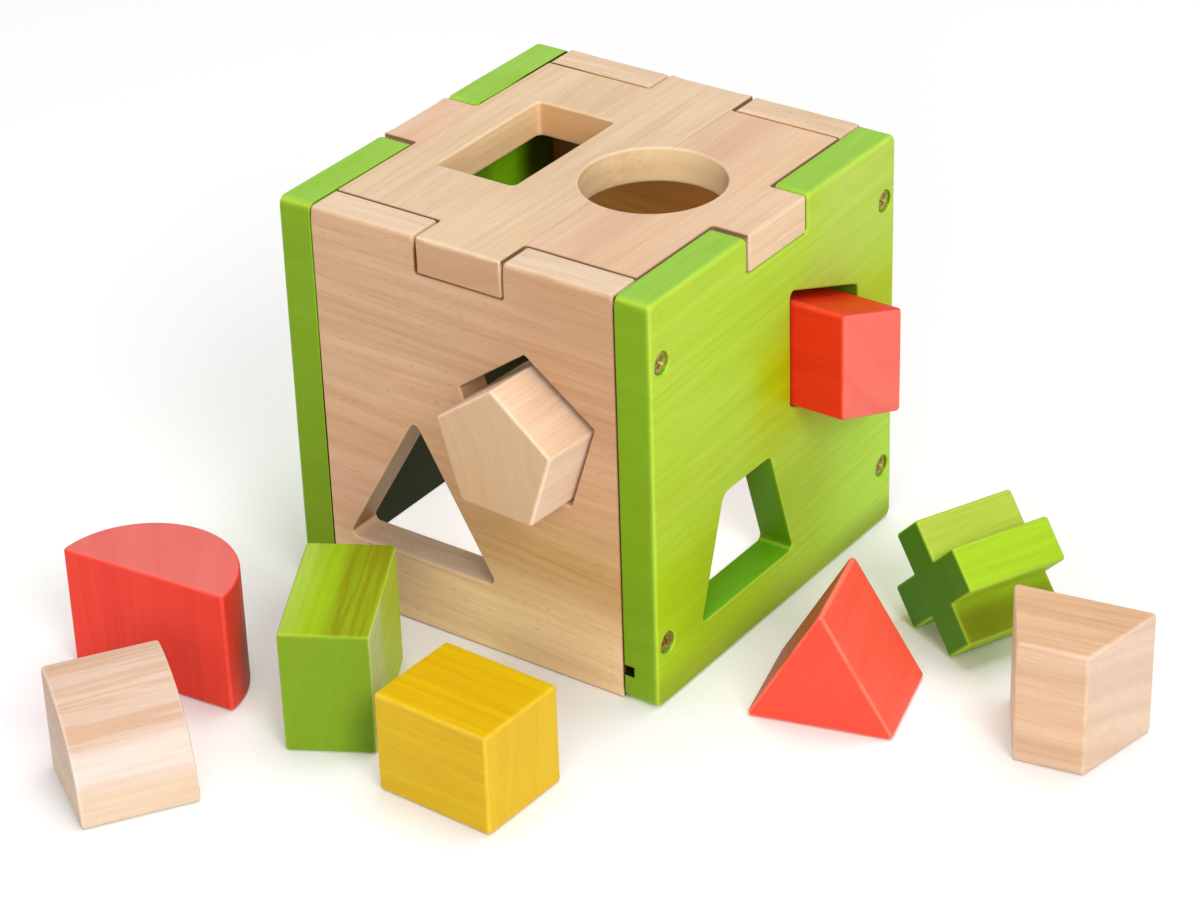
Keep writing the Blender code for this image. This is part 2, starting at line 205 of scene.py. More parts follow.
def without_straight_points(points):
    kept = []
    for index, point in enumerate(points):
        before = point - points[index - 1]
        after = points[(index + 1) % len(points)] - point
        if abs(turn_between(before, after)) > STRAIGHT_TURN:
            kept.append(point)
    return kept


def corners_of(points):
    """Where a loop's long sides meet, how far it turns there, and the radius that the CAD gave it."""
    points = without_straight_points(points)
    sides = [(point, points[(index + 1) % len(points)]) for index, point in enumerate(points)]
    sides = [side for side in sides if (side[1] - side[0]).length > SHORTEST_SIDE]
    corners = []
    for before, after in zip(sides, sides[1:] + sides[:1]):
        turn = turn_between(before[1] - before[0], after[1] - after[0])
        if (before[1] - after[0]).length < WELD:
            corners.append(Corner(before[1], turn, 0.0))
            continue
        direction = (before[1] - before[0]).normalized()
        across = (after[1] - after[0]).normalized()
        reach = (after[0] - before[1]).length / (2.0 * math.cos(turn / 2.0))
        corners.append(Corner(before[1] + direction * reach, turn, reach / abs(math.tan(turn / 2.0))))
    return corners


def corner_arc(corner, before, after, radius):
    """The points of a rounded corner, most worn in its middle."""
    tangent = radius * abs(math.tan(corner.turn / 2.0))
    start = corner.point - before * tangent
    side = 1.0 if corner.turn > 0.0 else -1.0
    centre = start + Vector((-before.y, before.x)) * radius * side
    points = []
    for step in range(CORNER_STEPS + 1):
        share = step / CORNER_STEPS
        spoke = Matrix.Rotation(corner.turn * share, 2) @ (start - centre)
        wear = math.sin(math.pi * share) if corner.turn > 0.0 else 0.0
        points.append(RimPoint(centre + spoke, wear))
    return points


def make_outline(points, least_radius):
    """A loop with softened corners, smoother curves and straight stretches in short steps."""
    corners = corners_of(points)
    following = corners[1:] + corners[:1]
    area = sum(a.point.x * b.point.y - b.point.x * a.point.y for a, b in zip(corners, following))
    rough, kept = [], []
    for index, corner in enumerate(corners):
        before = (corner.point - corners[index - 1].point).normalized()
        after = (corners[(index + 1) % len(corners)].point - corner.point).normalized()
        if abs(corner.turn) < CURVE_TURN:
            rough.append((RimPoint(corner.point, 0.0), corner.turn))
            continue
        least = least_radius(corner) if corner.turn > 0.0 else CONCAVE_RADIUS
        corner = corner._replace(radius=max(corner.radius, least))
        kept.append(corner)
        rough += [(point, 0.0) for point in corner_arc(corner, before, after, corner.radius)]
    rim = []
    for (start, start_turn), (end, end_turn) in zip(rough, rough[1:] + rough[:1]):
        rim.append(start)
        rim += points_between(start.point, end.point, start_turn, end_turn)
    return Outline(rim, kept, area < 0.0)


def points_between(start, end, start_turn, end_turn):
    side = end - start
    if start_turn or end_turn:
        turns = [turn for turn in (start_turn, end_turn) if turn]
        bulge = math.tan(sum(turns) / len(turns) / 4.0) / 2.0
        return [RimPoint((start + end) / 2.0 + Vector((side.y, -side.x)) * bulge, 0.0)]
    count = int(side.length / STRAIGHT_STEP)
    return [RimPoint(start + side * step / (count + 1), 0.0) for step in range(1, count + 1)]


# ---------------------------------------------------------------- rounded solids

def inward_directions(rim):
    """For each point of a rim, the way into the material, as long as its mitre needs."""
    directions = []
    for index, here in enumerate(rim):
        before = (here.point - rim[index - 1].point).normalized()
        after = (rim[(index + 1) % len(rim)].point - here.point).normalized()
        middle = (before + after).normalized()
        directions.append(Vector((-middle.y, middle.x)) / max(LEAST_MITRE, middle.dot(before)))
    return directions


def corner_limit(outline, point):
    """The largest rounding that fits near a loop's corners."""
    limits = []
    for corner in outline.corners:
        if corner.turn > 0.0:
            tangent = corner.radius * abs(math.tan(corner.turn / 2.0))
            beyond_arc = max(0.0, (point - corner.point).length - tangent)
            limits.append(CORNER_SHARE * corner.radius + EDGE_GROWTH * beyond_arc)
    return min(limits, default=NO_LIMIT)


def sanded(radius, point, seed):
    """A rounding that varies along the edge, as on a piece sanded by hand."""
    place = Vector((point.x, point.y, 0.0)) / SANDING_LENGTH + Vector((0.0, 0.0, seed))
    return radius * (1.0 + SANDING_VARIATION * noise.noise(place))


def rounded_prism(name, outlines, low, high, edge_radius, place, seed):
    """Sweep the outlines from low to high, with a rounding along the rim of each end.

    The outlines are in place's u and v, and the mesh is made in the row frame.
    edge_radius(outline, point, end) is the rounding wanted at a point; end is 0 at low and 1 at high.
    The point attribute edge_wear is 1 in the middle of every large rounding and 0 on the flats.
    painted_seam_shade is painted shade: 1 in the mouth of every seam at the high end and 0 a little way into
    it.
    """
    shape = bmesh.new()
    wear_layer = shape.verts.layers.float.new("edge_wear")
    # painted shade in the mouths of the seams
    seam_shade_layer = shape.verts.layers.float.new("painted_seam_shade")
    end_rings = ([], [])
    for outline in outlines:
        inward = inward_directions(outline.rim)
        rings = []
        at_seam = [edge_radius(outline, here.point, 1) < WORN_RADIUS for here in outline.rim]
        for end, level, outwards in ((0, low, -1.0), (1, high, 1.0)):
            radii = []
            for here in outline.rim:
                wanted = sanded(edge_radius(outline, here.point, end), here.point, seed + end)
                radii.append(min(wanted, corner_limit(outline, here.point)))
            built = []
            steps = [(math.pi / 2.0 * step / EDGE_STEPS, 0.0) for step in range(EDGE_STEPS + 1)]
            for angle, further in steps + [(math.pi / 2.0, SEAM_SHADE_REACH)]:
                ring = []
                for here, way, radius, seam in zip(outline.rim, inward, radii, at_seam):
                    flat = here.point + way * radius * (1.0 - math.sin(angle))
                    inset = radius * (1.0 - math.cos(angle)) + further
                    vert = shape.verts.new((flat.x, flat.y, level - outwards * inset))
                    if not seam and radius > WORN_RADIUS * (1.0 - SANDING_VARIATION):
                        vert[wear_layer] = max(math.sin(2.0 * angle), here.wear * math.sin(angle))
                    # painted shade, darkest at the mouth of the seam
                    if seam and end and not further:
                        vert[seam_shade_layer] = math.sin(angle)
                    ring.append(vert)
                built.append(ring)
            end_rings[end].append(built[0])
            rings += built if end == 0 else built[::-1]
        for lower, upper in zip(rings, rings[1:]):
            for index in range(len(lower)):
                after = (index + 1) % len(lower)
                shape.faces.new((lower[index], lower[after], upper[after], upper[index]))
    for end in (0, 1):
        close_end(shape, end_rings[end])
    bmesh.ops.recalc_face_normals(shape, faces=shape.faces)
    mesh = bpy.data.meshes.new(name)
    bmesh.ops.transform(shape, matrix=place, verts=shape.verts)
    shape.to_mesh(mesh)
    shape.free()
    obj = bpy.data.objects.new(name, mesh)
    bpy.context.scene.collection.objects.link(obj)
    return obj


def close_end(shape, rings):
    """Fill the flat area inside the first ring and outside the others."""
    verts = [vert for ring in rings for vert in ring]
    for triangle in geometry.tessellate_polygon([[vert.co for vert in ring] for ring in rings]):
        shape.faces.new([verts[index] for index in triangle])


def smooth(obj):
    """Soft shading across the roundings, and flat shading on the flats."""
    obj.data.shade_smooth()
    obj.data.set_sharp_from_angle(angle=SMOOTH_ANGLE)
    weighted = obj.modifiers.new("weighted_normals", 'WEIGHTED_NORMAL')
    weighted.keep_sharp = True


# ---------------------------------------------------------------- cutters

def add_box(shape, low, high):
    centre = (low + high) / 2.0
    size = high - low
    bmesh.ops.create_cube(shape, size=1.0, matrix=Matrix.Translation(centre) @ Matrix.Diagonal((*size, 1.0)))


def add_turned(shape, profile, place, segments=SCREW_SEGMENTS):
    """A solid of revolution about place's z; profile is (radius, height) with its ends on the axis."""
    rings = []
    for radius, height in profile:
        if radius == 0.0:
            rings.append([shape.verts.new(place @ Vector((0.0, 0.0, height)))] * segments)
            continue
        rings.append([])
        for index in range(segments):
            spoke = Matrix.Rotation(2.0 * math.pi * index / segments, 3, 'Z') @ Vector((radius, 0.0, height))
            rings[-1].append(shape.verts.new(place @ spoke))
    for lower, upper in zip(rings, rings[1:]):
        for index in range(segments):
            after = (index + 1) % segments
            corners = [lower[index], lower[after], upper[after], upper[index]]
            shape.faces.new(list(dict.fromkeys(corners)))


def cut(obj, shape):
    """Take the shape, given in the row frame, out of the object, and keep the result as its mesh."""
    bmesh.ops.recalc_face_normals(shape, faces=shape.faces)
    mesh = bpy.data.meshes.new("cutter")
    shape.to_mesh(mesh)
    shape.free()
    cutter = bpy.data.objects.new("cutter", mesh)
    bpy.context.scene.collection.objects.link(cutter)
    boolean = obj.modifiers.new("cut", 'BOOLEAN')
    boolean.operation = 'DIFFERENCE'
    boolean.solver = 'EXACT'
    boolean.object = cutter
    bpy.context.view_layer.update()
    graph = bpy.context.evaluated_depsgraph_get()
    result = bpy.data.meshes.new_from_object(obj.evaluated_get(graph), preserve_all_data_layers=True,
                                             depsgraph=graph)
    obj.modifiers.clear()
    obj.data = result
    bpy.data.objects.remove(cutter)


# ---------------------------------------------------------------- materials

def shown(red, green, blue):
    """A colour as a screen shows it, from 0 to 255, turned into the linear values that shaders take."""
    linear = []
    for value in (red, green, blue):
        share = value / 255.0
        linear.append(share / 12.92 if share <= 0.04045 else ((share + 0.055) / 1.055) ** 2.4)
    return (*linear, 1.0)


FACING_AWAY = 0.6                   # cosines of the angle to the direction
FACING_IT = 0.95


class Graph:
    """A material's node tree, with short calls for the nodes that the materials here use."""

    def __init__(self, name):
        self.material = bpy.data.materials.new(name)
        self.material.use_nodes = True
        self.tree = self.material.node_tree
        self.shader = self.tree.nodes["Principled BSDF"]
        self.source = self.tree.nodes.new("ShaderNodeTexCoord")

    def put(self, socket, value):
        if isinstance(value, bpy.types.NodeSocket):
            self.tree.links.new(value, socket)
        else:
            socket.default_value = value

    def node(self, kind, inputs, **settings):
        made = self.tree.nodes.new(kind)
        for key, value in settings.items():
            setattr(made, key, value)
        for key, value in inputs.items():
            self.put(made.inputs[key], value)
        return made

    def math(self, operation, first, second=0.0, third=0.0, clamp=False):
        inputs = {0: first, 1: second, 2: third}
        return self.node("ShaderNodeMath", inputs, operation=operation, use_clamp=clamp).outputs[0]

    def product(self, *values):
        result = values[0]
        for value in values[1:]:
            result = self.math('MULTIPLY', result, value)
        return result

    def vector(self, operation, first, second=(0.0, 0.0, 0.0), output=0):
        return self.node("ShaderNodeVectorMath", {0: first, 1: second}, operation=operation).outputs[output]

    def dot(self, first, direction):
        return self.vector('DOT_PRODUCT', first, tuple(direction), output="Value")

    def millimetres(self, middle):
        """Where a point of the surface is, in millimetres from the given middle of the piece."""
        from_middle = self.vector('SUBTRACT', self.source.outputs["Object"], tuple(middle))
        return self.vector('MULTIPLY', from_middle, (1.0 / MM,) * 3)

    def facing(self, direction, both_ways=False):
        """One where the surface faces the direction, and nought where it faces well away from it."""
        share = self.dot(self.source.outputs["Normal"], direction)
        if both_ways:
            share = self.math('ABSOLUTE', share)
        return self.spread(share, FACING_AWAY, FACING_IT)

    def noise(self, vector, scale, detail=2.0, roughness=0.5, output="Fac"):
        inputs = {"Vector": vector, "Scale": scale, "Detail": detail, "Roughness": roughness}
        return self.node("ShaderNodeTexNoise", inputs).outputs[output]

    def spread(self, value, low, high, to_low=0.0, to_high=1.0):
        """Map the stretch from low to high onto another, and hold it there past its ends."""
        inputs = {"Value": value, "From Min": low, "From Max": high, "To Min": to_low, "To Max": to_high}
        return self.node("ShaderNodeMapRange", inputs, interpolation_type='SMOOTHSTEP').outputs["Result"]

    def mix(self, share, first, second, blend='MIX'):
        inputs = {0: share, 6: first, 7: second}
        return self.node("ShaderNodeMix", inputs, data_type='RGBA', blend_type=blend).outputs[2]

    def bump(self, height, depth, strength=0.6):
        inputs = {"Height": height, "Strength": strength, "Distance": depth}
        return self.node("ShaderNodeBump", inputs).outputs[0]

    def set_shader(self, **values):
        for key, value in values.items():
            self.put(self.shader.inputs[key.replace("_", " ")], value)


class Ramp(NamedTuple):
    """Rises from nought at start to one at full, both in millimetres from the piece's middle."""
    direction: Vector
    start: float
    full: float


class Patch(NamedTuple):
    """Part of a piece with a colour of its own: a glued stave, one of its faces, a stretch of heartwood;
    some patches are painted light or painted shade.
    """
    color: tuple
    share: float
    ramps: tuple = ()
    facing: Vector = None
    streaks: float = 0.0


class Wood(NamedTuple):
    """How a piece's wood looks; its grain runs between its light and its dark colour."""
    light: tuple
    dark: tuple
    pore: tuple
    edge: tuple
    end: tuple
    # the colour of the painted shade in the mouths of seams
    seam: tuple
    end_share: float = 0.85
    band: float = 0.4
    streak: float = 0.4
    fibre: float = 0.3
    tint: float = 0.45
    pores: float = 0.35
    worn: float = 0.4
    ring_width: float = 6.0
    roughness: float = 0.5
    gloss: float = 0.2
    patches: tuple = ()


# How many times a pattern repeats in a millimetre: along the fibres and in the two ways across them
DRIFT = (0.16, 1.0, 1.0)
STREAKS = (0.014, 0.42, 0.42)
FIBRES = (0.035, 1.7, 1.7)
PORES = (0.2, 1.7, 1.7)
RING_DRIFT = 0.006
TEXTURE_START = (200.0, 900.0)      # each piece is cut from another place in the wood
PITH_ACROSS = (560.0, 700.0)
PITH_DEEP = (600.0, 720.0)
PORE_MOUTH = (0.1, 0.16)            # the smallest pore, and how much larger the largest one is
PORE_DEPTH = 0.8
FIBRE_DEPTH = 0.35
RELIEF = 0.05 * MM
FINE_RELIEF = 0.03 * MM
FINE_BUMP = 0.4

WARMER = (1.0, 0.93, 0.82, 1.0)
# painted shade, near black, in the grooves and on the wall ends seen through them
GROOVE_SHADE = shown(30, 26, 8)
# how strongly the painted shade in the seams covers the wood
SEAM_SHADE_STRENGTH = 0.85
GLUE_LINE = 0.3                     # how soft the change of colour is where two staves are glued
WANDER = 16.0                       # how far the fibres stray from a straight line
PATCH_WANDER = 9.0
END_CALM = 0.75                     # end grain shows its rings, and little of its fibres


def wood_material(name, wood, middle, grain, across, seed):
    """Wood whose fibres run along grain; middle, grain and across are in the row frame."""
    chance = random.Random(seed)
    g = Graph(name)
    place = g.millimetres(middle)
    parts = {}
    for axis, direction in zip("XYZ", (grain, across, grain.cross(across))):
        parts[axis] = g.math('ADD', g.dot(place, direction), chance.uniform(*TEXTURE_START))
    point = g.node("ShaderNodeCombineXYZ", parts).outputs[0]

    # Slow drift of the fibres, so that no line is quite straight
    slow = g.vector('MULTIPLY', point, DRIFT)
    drift = g.vector('SUBTRACT', g.noise(slow, 0.022, 2.0, output="Color"), (0.5, 0.5, 0.5))
    bent = g.vector('ADD', point, g.vector('MULTIPLY', drift, (0.0, WANDER, WANDER)))

    # Growth rings about a pith far outside the piece
    pith = (0.0, chance.uniform(*PITH_ACROSS), chance.uniform(*PITH_DEEP))
    spokes = g.vector('MULTIPLY', g.vector('SUBTRACT', bent, pith), (0.0, 1.0, 1.0))
    radius = g.vector('LENGTH', spokes, output="Value")
    ring_point = g.node("ShaderNodeCombineXYZ", {"X": g.math('DIVIDE', radius, wood.ring_width),
                                                 "Y": g.math('MULTIPLY', parts["X"], RING_DRIFT)}).outputs[0]
    rings = g.spread(g.noise(ring_point, 1.0, 3.0, 0.55), 0.3, 0.7)

    streaks = g.spread(g.noise(g.vector('MULTIPLY', bent, STREAKS), 1.0, 3.0, 0.6), 0.34, 0.68)
    fibres = g.spread(g.noise(g.vector('MULTIPLY', bent, FIBRES), 1.0, 4.0, 0.65), 0.3, 0.7)
    cells = g.node("ShaderNodeTexVoronoi", {"Vector": g.vector('MULTIPLY', bent, PORES), "Scale": 1.0})
    some = g.node("ShaderNodeSeparateColor", {0: cells.outputs["Color"]}).outputs
    smallest, growth = PORE_MOUTH
    mouth = g.math('MULTIPLY_ADD', some[1], growth, smallest)
    from_middle = g.math('DIVIDE', cells.outputs["Distance"], mouth)
    open_pore = g.math('SUBTRACT', 1.0, g.spread(from_middle, 0.5, 1.2))
    pores = g.product(open_pore, g.spread(some[0], 0.55, 0.85))

    end_grain = g.facing(grain, both_ways=True)
    along_grain = g.math('MULTIPLY_ADD', end_grain, -END_CALM, 1.0)
    lines = g.math('MULTIPLY_ADD', streaks, wood.streak, g.product(fibres, wood.fibre))
    shade = g.math('MULTIPLY_ADD', rings, wood.band, g.product(lines, along_grain), clamp=True)
    color = g.mix(shade, wood.light, wood.dark)

    def in_grain(flat):
        """A colour with the same contrast of grain as the rest of the piece."""
        darker = tuple(tone * dark / light for tone, dark, light in zip(flat, wood.dark, wood.light))
        return g.mix(shade, flat, darker)

    color = g.mix(g.product(end_grain, wood.end_share), color, in_grain(wood.end))
    stray = g.product(g.math('SUBTRACT', g.noise(slow, 0.05, 2.0), 0.5), PATCH_WANDER)
    broken = g.spread(streaks, 0.2, 0.8)
    for patch in wood.patches:
        share = g.math('MULTIPLY_ADD', broken, -patch.streaks * patch.share, patch.share)
        for ramp in patch.ramps:
            reach = g.dot(place, ramp.direction)
            if abs(ramp.full - ramp.start) > GLUE_LINE:
                reach = g.math('ADD', reach, stray)
            share = g.product(share, g.spread(reach, ramp.start, ramp.full))
        if patch.facing is not None:
            share = g.product(share, g.facing(patch.facing))
        color = g.mix(share, color, in_grain(patch.color))

    broad = g.spread(g.noise(slow, 0.03, 1.0), 0.45, 0.75)
    color = g.mix(g.product(broad, wood.tint), color, g.mix(1.0, color, WARMER, 'MULTIPLY'))
    color = g.mix(g.product(pores, wood.pores), color, wood.pore, 'DARKEN')

    # Sanded edges, rubbed paler in broken stretches
    wear = g.node("ShaderNodeAttribute", {}, attribute_name="edge_wear").outputs["Fac"]
    rubbed = g.product(wear, g.spread(g.noise(point, 0.12, 3.0, 0.6), 0.25, 0.6, 0.35, 1.0), wood.worn)
    color = g.mix(rubbed, color, wood.edge)

    # Painted shade in the mouths of the seams
    seam_shade_mask = g.node("ShaderNodeAttribute", {}, attribute_name="painted_seam_shade").outputs["Fac"]
    color = g.mix(g.product(seam_shade_mask, SEAM_SHADE_STRENGTH), color, wood.seam)

    rough = g.math('MULTIPLY_ADD', fibres, 0.12, wood.roughness - 0.06)
    rough = g.math('MULTIPLY_ADD', pores, 0.15, rough)
    rough = g.math('MULTIPLY_ADD', rubbed, -0.08, rough)
    relief = g.math('SUBTRACT', g.product(fibres, FIBRE_DEPTH), g.product(pores, PORE_DEPTH))
    relief = g.math('MULTIPLY_ADD', g.noise(point, 0.5, 2.0), 0.6, relief)
    normal = g.bump(relief, RELIEF)
    g.set_shader(Base_Color=color, Roughness=rough, Normal=normal, Specular_IOR_Level=wood.gloss)
    return g.material


def board_material():
    """A thin board with a white face on top that glows as painted light, and bare brown fibre on its edges
    and underside.
    """
    g = Graph("white_faced_board")
    point = g.millimetres(Vector())
    specks = g.spread(g.noise(point, 0.9, 3.0, 0.7), 0.35, 0.7)
    cloud = g.noise(point, 0.03, 2.0)
    white = g.mix(g.product(specks, 0.25), shown(253, 253, 251), shown(246, 245, 240))
    white = g.mix(g.product(cloud, 0.2), white, shown(248, 246, 240))
    fibre = g.mix(specks, shown(150, 112, 74), shown(118, 84, 52))
    upward = g.facing(UP)
    rough = g.math('MULTIPLY_ADD', specks, 0.12, 0.5)
    # Painted light: the white top glows, so that it stays white in the shade inside the box
    glow = g.mix(upward, (0.0, 0.0, 0.0, 1.0), white)
    g.set_shader(Base_Color=g.mix(upward, fibre, white), Roughness=rough,
                 Normal=g.bump(specks, FINE_RELIEF, FINE_BUMP),
                 Emission_Color=glow, Emission_Strength=BOARD_GLOW)
    return g.material


def screw_material():
    """Dull yellow-plated steel, stained in places and scuffed on the head."""
    g = Graph("plated_screw")
    point = g.millimetres(Vector())
    stain = g.spread(g.noise(point, 0.6, 3.0, 0.6), 0.35, 0.65)
    scratches = g.spread(g.noise(g.vector('MULTIPLY', point, (0.6, 6.0, 1.0)), 1.5, 3.0), 0.4, 0.7)
    color = g.mix(stain, shown(186, 170, 84), shown(138, 120, 50))
    color = g.mix(g.product(scratches, 0.3), color, shown(206, 196, 130))
    rough = g.math('MULTIPLY_ADD', stain, 0.2, 0.38)
    normal = g.bump(scratches, FINE_RELIEF, FINE_BUMP)
    g.set_shader(Base_Color=color, Roughness=rough, Normal=normal, Metallic=0.8)
    return g.material


# ---------------------------------------------------------------- woods

def heading(degrees):
    return Vector((math.cos(math.radians(degrees)), math.sin(math.radians(degrees)), 0.0))


NATURAL = Wood(light=shown(210, 172, 138), dark=shown(190, 149, 113), pore=shown(150, 104, 72),
               edge=shown(228, 198, 164), end=shown(196, 152, 114), seam=shown(112, 66, 36), pores=0.6)
MAPLE = Wood(light=shown(240, 210, 182), dark=shown(222, 182, 148), pore=shown(184, 136, 98),
             edge=shown(248, 226, 200), end=shown(204, 172, 136), seam=shown(112, 66, 36))
PALE = MAPLE._replace(light=shown(240, 220, 206), dark=shown(228, 198, 174), end=shown(198, 173, 153),
                      edge=shown(246, 232, 216), pore=shown(206, 172, 140))
GREEN = Wood(light=shown(184, 214, 66), dark=shown(168, 200, 44), pore=shown(124, 150, 26),
             edge=shown(190, 222, 92), end=shown(108, 150, 12), seam=shown(70, 84, 10),
             pores=0.3, worn=0.2, gloss=0.1)
RED = Wood(light=shown(248, 80, 58), dark=shown(236, 62, 44), pore=shown(204, 44, 32),
           edge=shown(255, 140, 118), end=shown(246, 84, 64), seam=shown(120, 30, 20),
           band=0.35, streak=0.35, fibre=0.25, pores=0.15, worn=0.6, roughness=0.44, gloss=0.14)
YELLOW = Wood(light=shown(216, 180, 36), dark=shown(198, 156, 20), pore=shown(184, 132, 18),
              edge=shown(244, 210, 80), end=shown(228, 191, 44), seam=shown(140, 96, 10),
              pores=0.3, gloss=0.1)

# The ends of the front and back walls are only seen through the ends of the side walls' grooves, and get
# near-black painted shade
HIDDEN_ENDS = tuple(Patch(GROOVE_SHADE, 0.97, (Ramp(way, 60.0, 60.2),), way) for way in (RIGHT, -RIGHT))

# The front wall is glued from two boards; the lower one is paler at its left and yellower at its right
FRONT_WALL = NATURAL._replace(patches=(
    Patch(shown(214, 170, 130), 0.5, (Ramp(-UP, -27.0, 10.0),)),
    Patch(shown(198, 154, 117), 0.6, (Ramp(UP, 10.0, 30.0), Ramp(RIGHT, 4.0, 34.0))),
    Patch(shown(222, 186, 150), 0.5,
          (Ramp(UP, -8.0, 4.0), Ramp(-RIGHT, -12.0, 34.0), Ramp(-UP, -28.2, -28.0))),
    Patch(shown(230, 188, 156), 0.75, (Ramp(-UP, 4.0, 24.0), Ramp(-RIGHT, 10.0, 40.0))),
    Patch(shown(208, 170, 112), 0.75, (Ramp(-UP, 2.0, 30.0), Ramp(RIGHT, -16.0, 22.0))),
    # painted light: the bottom of the wall is lifted against the shade of the blocks in front
    Patch(shown(252, 222, 176), 0.85, (Ramp(-UP, 34.0, 60.0),)),
    Patch(shown(230, 208, 182), 0.9, (), UP),
    # painted shade on the sides of the holes
    Patch(shown(140, 112, 62), 0.8, (), Vector((0.87, 0.0, -0.5))),
    Patch(shown(110, 58, 24), 0.9, (), Vector((-0.64, 0.0, -0.77))),
    Patch(shown(214, 142, 60), 0.8, (), BACK),
) + HIDDEN_ENDS)
BACK_WALL = NATURAL._replace(patches=(
    Patch(shown(222, 186, 152), 0.6, (Ramp(UP, 21.8, 22.0),)),
    Patch(shown(206, 164, 118), 0.5, (Ramp(-UP, 12.0, 42.0), Ramp(-RIGHT, -10.0, 30.0))),
    Patch(shown(230, 206, 178), 0.85, (), UP),
    Patch(shown(230, 160, 68), 0.85, (), -BACK),
    # painted shade on the inside, towards the left and high up
    Patch(shown(90, 50, 16), 0.85, (Ramp(-RIGHT, 38.0, 50.0), Ramp(UP, 20.0, 36.0)), -BACK),
) + HIDDEN_ENDS)


def side_wall(outward):
    """Green board, yellower in its middle, pale on its top edge and darker olive towards its bottom as
    painted shade; inside the box a darker green that is partly deeper stain and partly painted shade, with
    more painted shade low down and at the back, painted light where light falls in through the lid's hole,
    and painted shade in the groove.
    """
    return GREEN._replace(patches=(
        Patch(shown(176, 210, 4), 0.9, (Ramp(-UP, 4.0, 34.0), Ramp(-BACK, -16.0, 24.0)), outward),
        Patch(shown(184, 202, 0), 0.95,
              (Ramp(UP, -18.0, 2.0), Ramp(-UP, -38.0, -18.0), Ramp(BACK, -26.0, -6.0)), outward),
        Patch(shown(190, 214, 104), 0.6, (Ramp(UP, 24.0, 52.0), Ramp(BACK, 10.0, 40.0)), outward),
        Patch(shown(188, 228, 88), 0.7, (Ramp(-UP, 10.0, 30.0), Ramp(BACK, 20.0, 44.0)), outward),
        # painted shade: darker olive towards the bottom of the outer face
        Patch(shown(140, 152, 40), 0.7, (Ramp(-UP, 60.0, 75.0),), outward),
        Patch(shown(146, 194, 88), 0.85, (), UP),
        Patch(shown(112, 188, 24), 0.9, (Ramp(-UP, -60.0, -50.0),), UP),
        Patch(shown(90, 145, 12), 0.9, (Ramp(BACK, -56.0, -50.0),), -BACK),
        # the inside: partly a deeper stain, partly painted shade
        Patch(shown(108, 176, 0), 0.95, (), -outward),
        # painted shade low on the inside
        Patch(shown(31, 31, 0), 0.97, (Ramp(-UP, -36.0, -4.0),), -outward),
        # painted light where light falls in through the lid's hole
        Patch(shown(138, 220, 0), 0.9, (Ramp(BACK, 20.0, 28.0), Ramp(UP, 26.0, 36.0)), -outward),
        # painted shade at the back of the inside
        Patch(shown(46, 46, 0), 0.95, (Ramp(BACK, 35.0, 50.0),), -outward),
        # painted shade in the groove
        Patch(GROOVE_SHADE, 0.97,
              (Ramp(-UP, 61.4, 61.6), Ramp(UP, -65.6, -65.4), Ramp(-outward, 2.4, 2.6))),
    ))


# The lid is glued from three boards, with its fibres from front to back
LID_STAVES = (
    Patch(shown(150, 100, 70), 0.55, (Ramp(RIGHT, 16.7, 16.8), Ramp(-RIGHT, -17.1, -17.0))),
    Patch(shown(150, 100, 70), 0.4, (Ramp(RIGHT, -58.1, -58.0), Ramp(-RIGHT, 57.7, 57.8))),
    Patch(shown(226, 192, 162), 0.7, (Ramp(RIGHT, 16.9, 17.1),)),
    Patch(shown(226, 191, 166), 0.75, (Ramp(-RIGHT, 57.9, 58.1),)),
    Patch(shown(206, 162, 138), 0.5, (Ramp(RIGHT, 22.0, 30.0), Ramp(-RIGHT, -44.0, -34.0)), None, 0.7),
    Patch(shown(240, 212, 174), 0.85, (Ramp(RIGHT, 70.0, 74.0),), RIGHT),
)
WITHIN_THE_LID = tuple(Ramp(way, 58.0, 55.0) for way in (RIGHT, -RIGHT, BACK, -BACK))
# painted light: the sides of the lid's holes are lifted against their shade
LID_HOLE_SIDES = tuple(Patch(shown(255, 224, 174), 0.95, WITHIN_THE_LID, side)
                       for side in (RIGHT, (RIGHT - BACK).normalized(), -BACK))
OBLONG_FAR_SIDE = Patch(shown(226, 176, 124), 0.95, (Ramp(-RIGHT, 6.0, 8.0),) + WITHIN_THE_LID, -BACK)
LID = Wood(light=shown(224, 199, 166), dark=shown(206, 174, 140), pore=shown(176, 128, 94),
           edge=shown(238, 216, 184), end=shown(190, 145, 108), seam=shown(112, 66, 36),
           patches=LID_STAVES + LID_HOLE_SIDES + (OBLONG_FAR_SIDE,))


# The way a block's fibres run, or one of its ends or sides faces, in degrees from the row's x
PENTAGON_GRAIN = -93.5
RECTANGLE_SIDE = 29.0
TRAPEZOID_GRAIN = 190.0
HALF_ROUND_BACK = 62.0
QUARTER_ROUND_END = 236.5
TRIANGLE_END = 285.3
CROSS_END = 245.3
CROSS_SIDE = 335.3

PENTAGON_LOW_SIDE = Vector((0.93, 0.0, -0.37))
TRIANGLE_FAR_SIDE = Vector((-0.84, -0.22, 0.5))
CROSS_UPPER_SIDE = (heading(CROSS_SIDE) + UP).normalized()

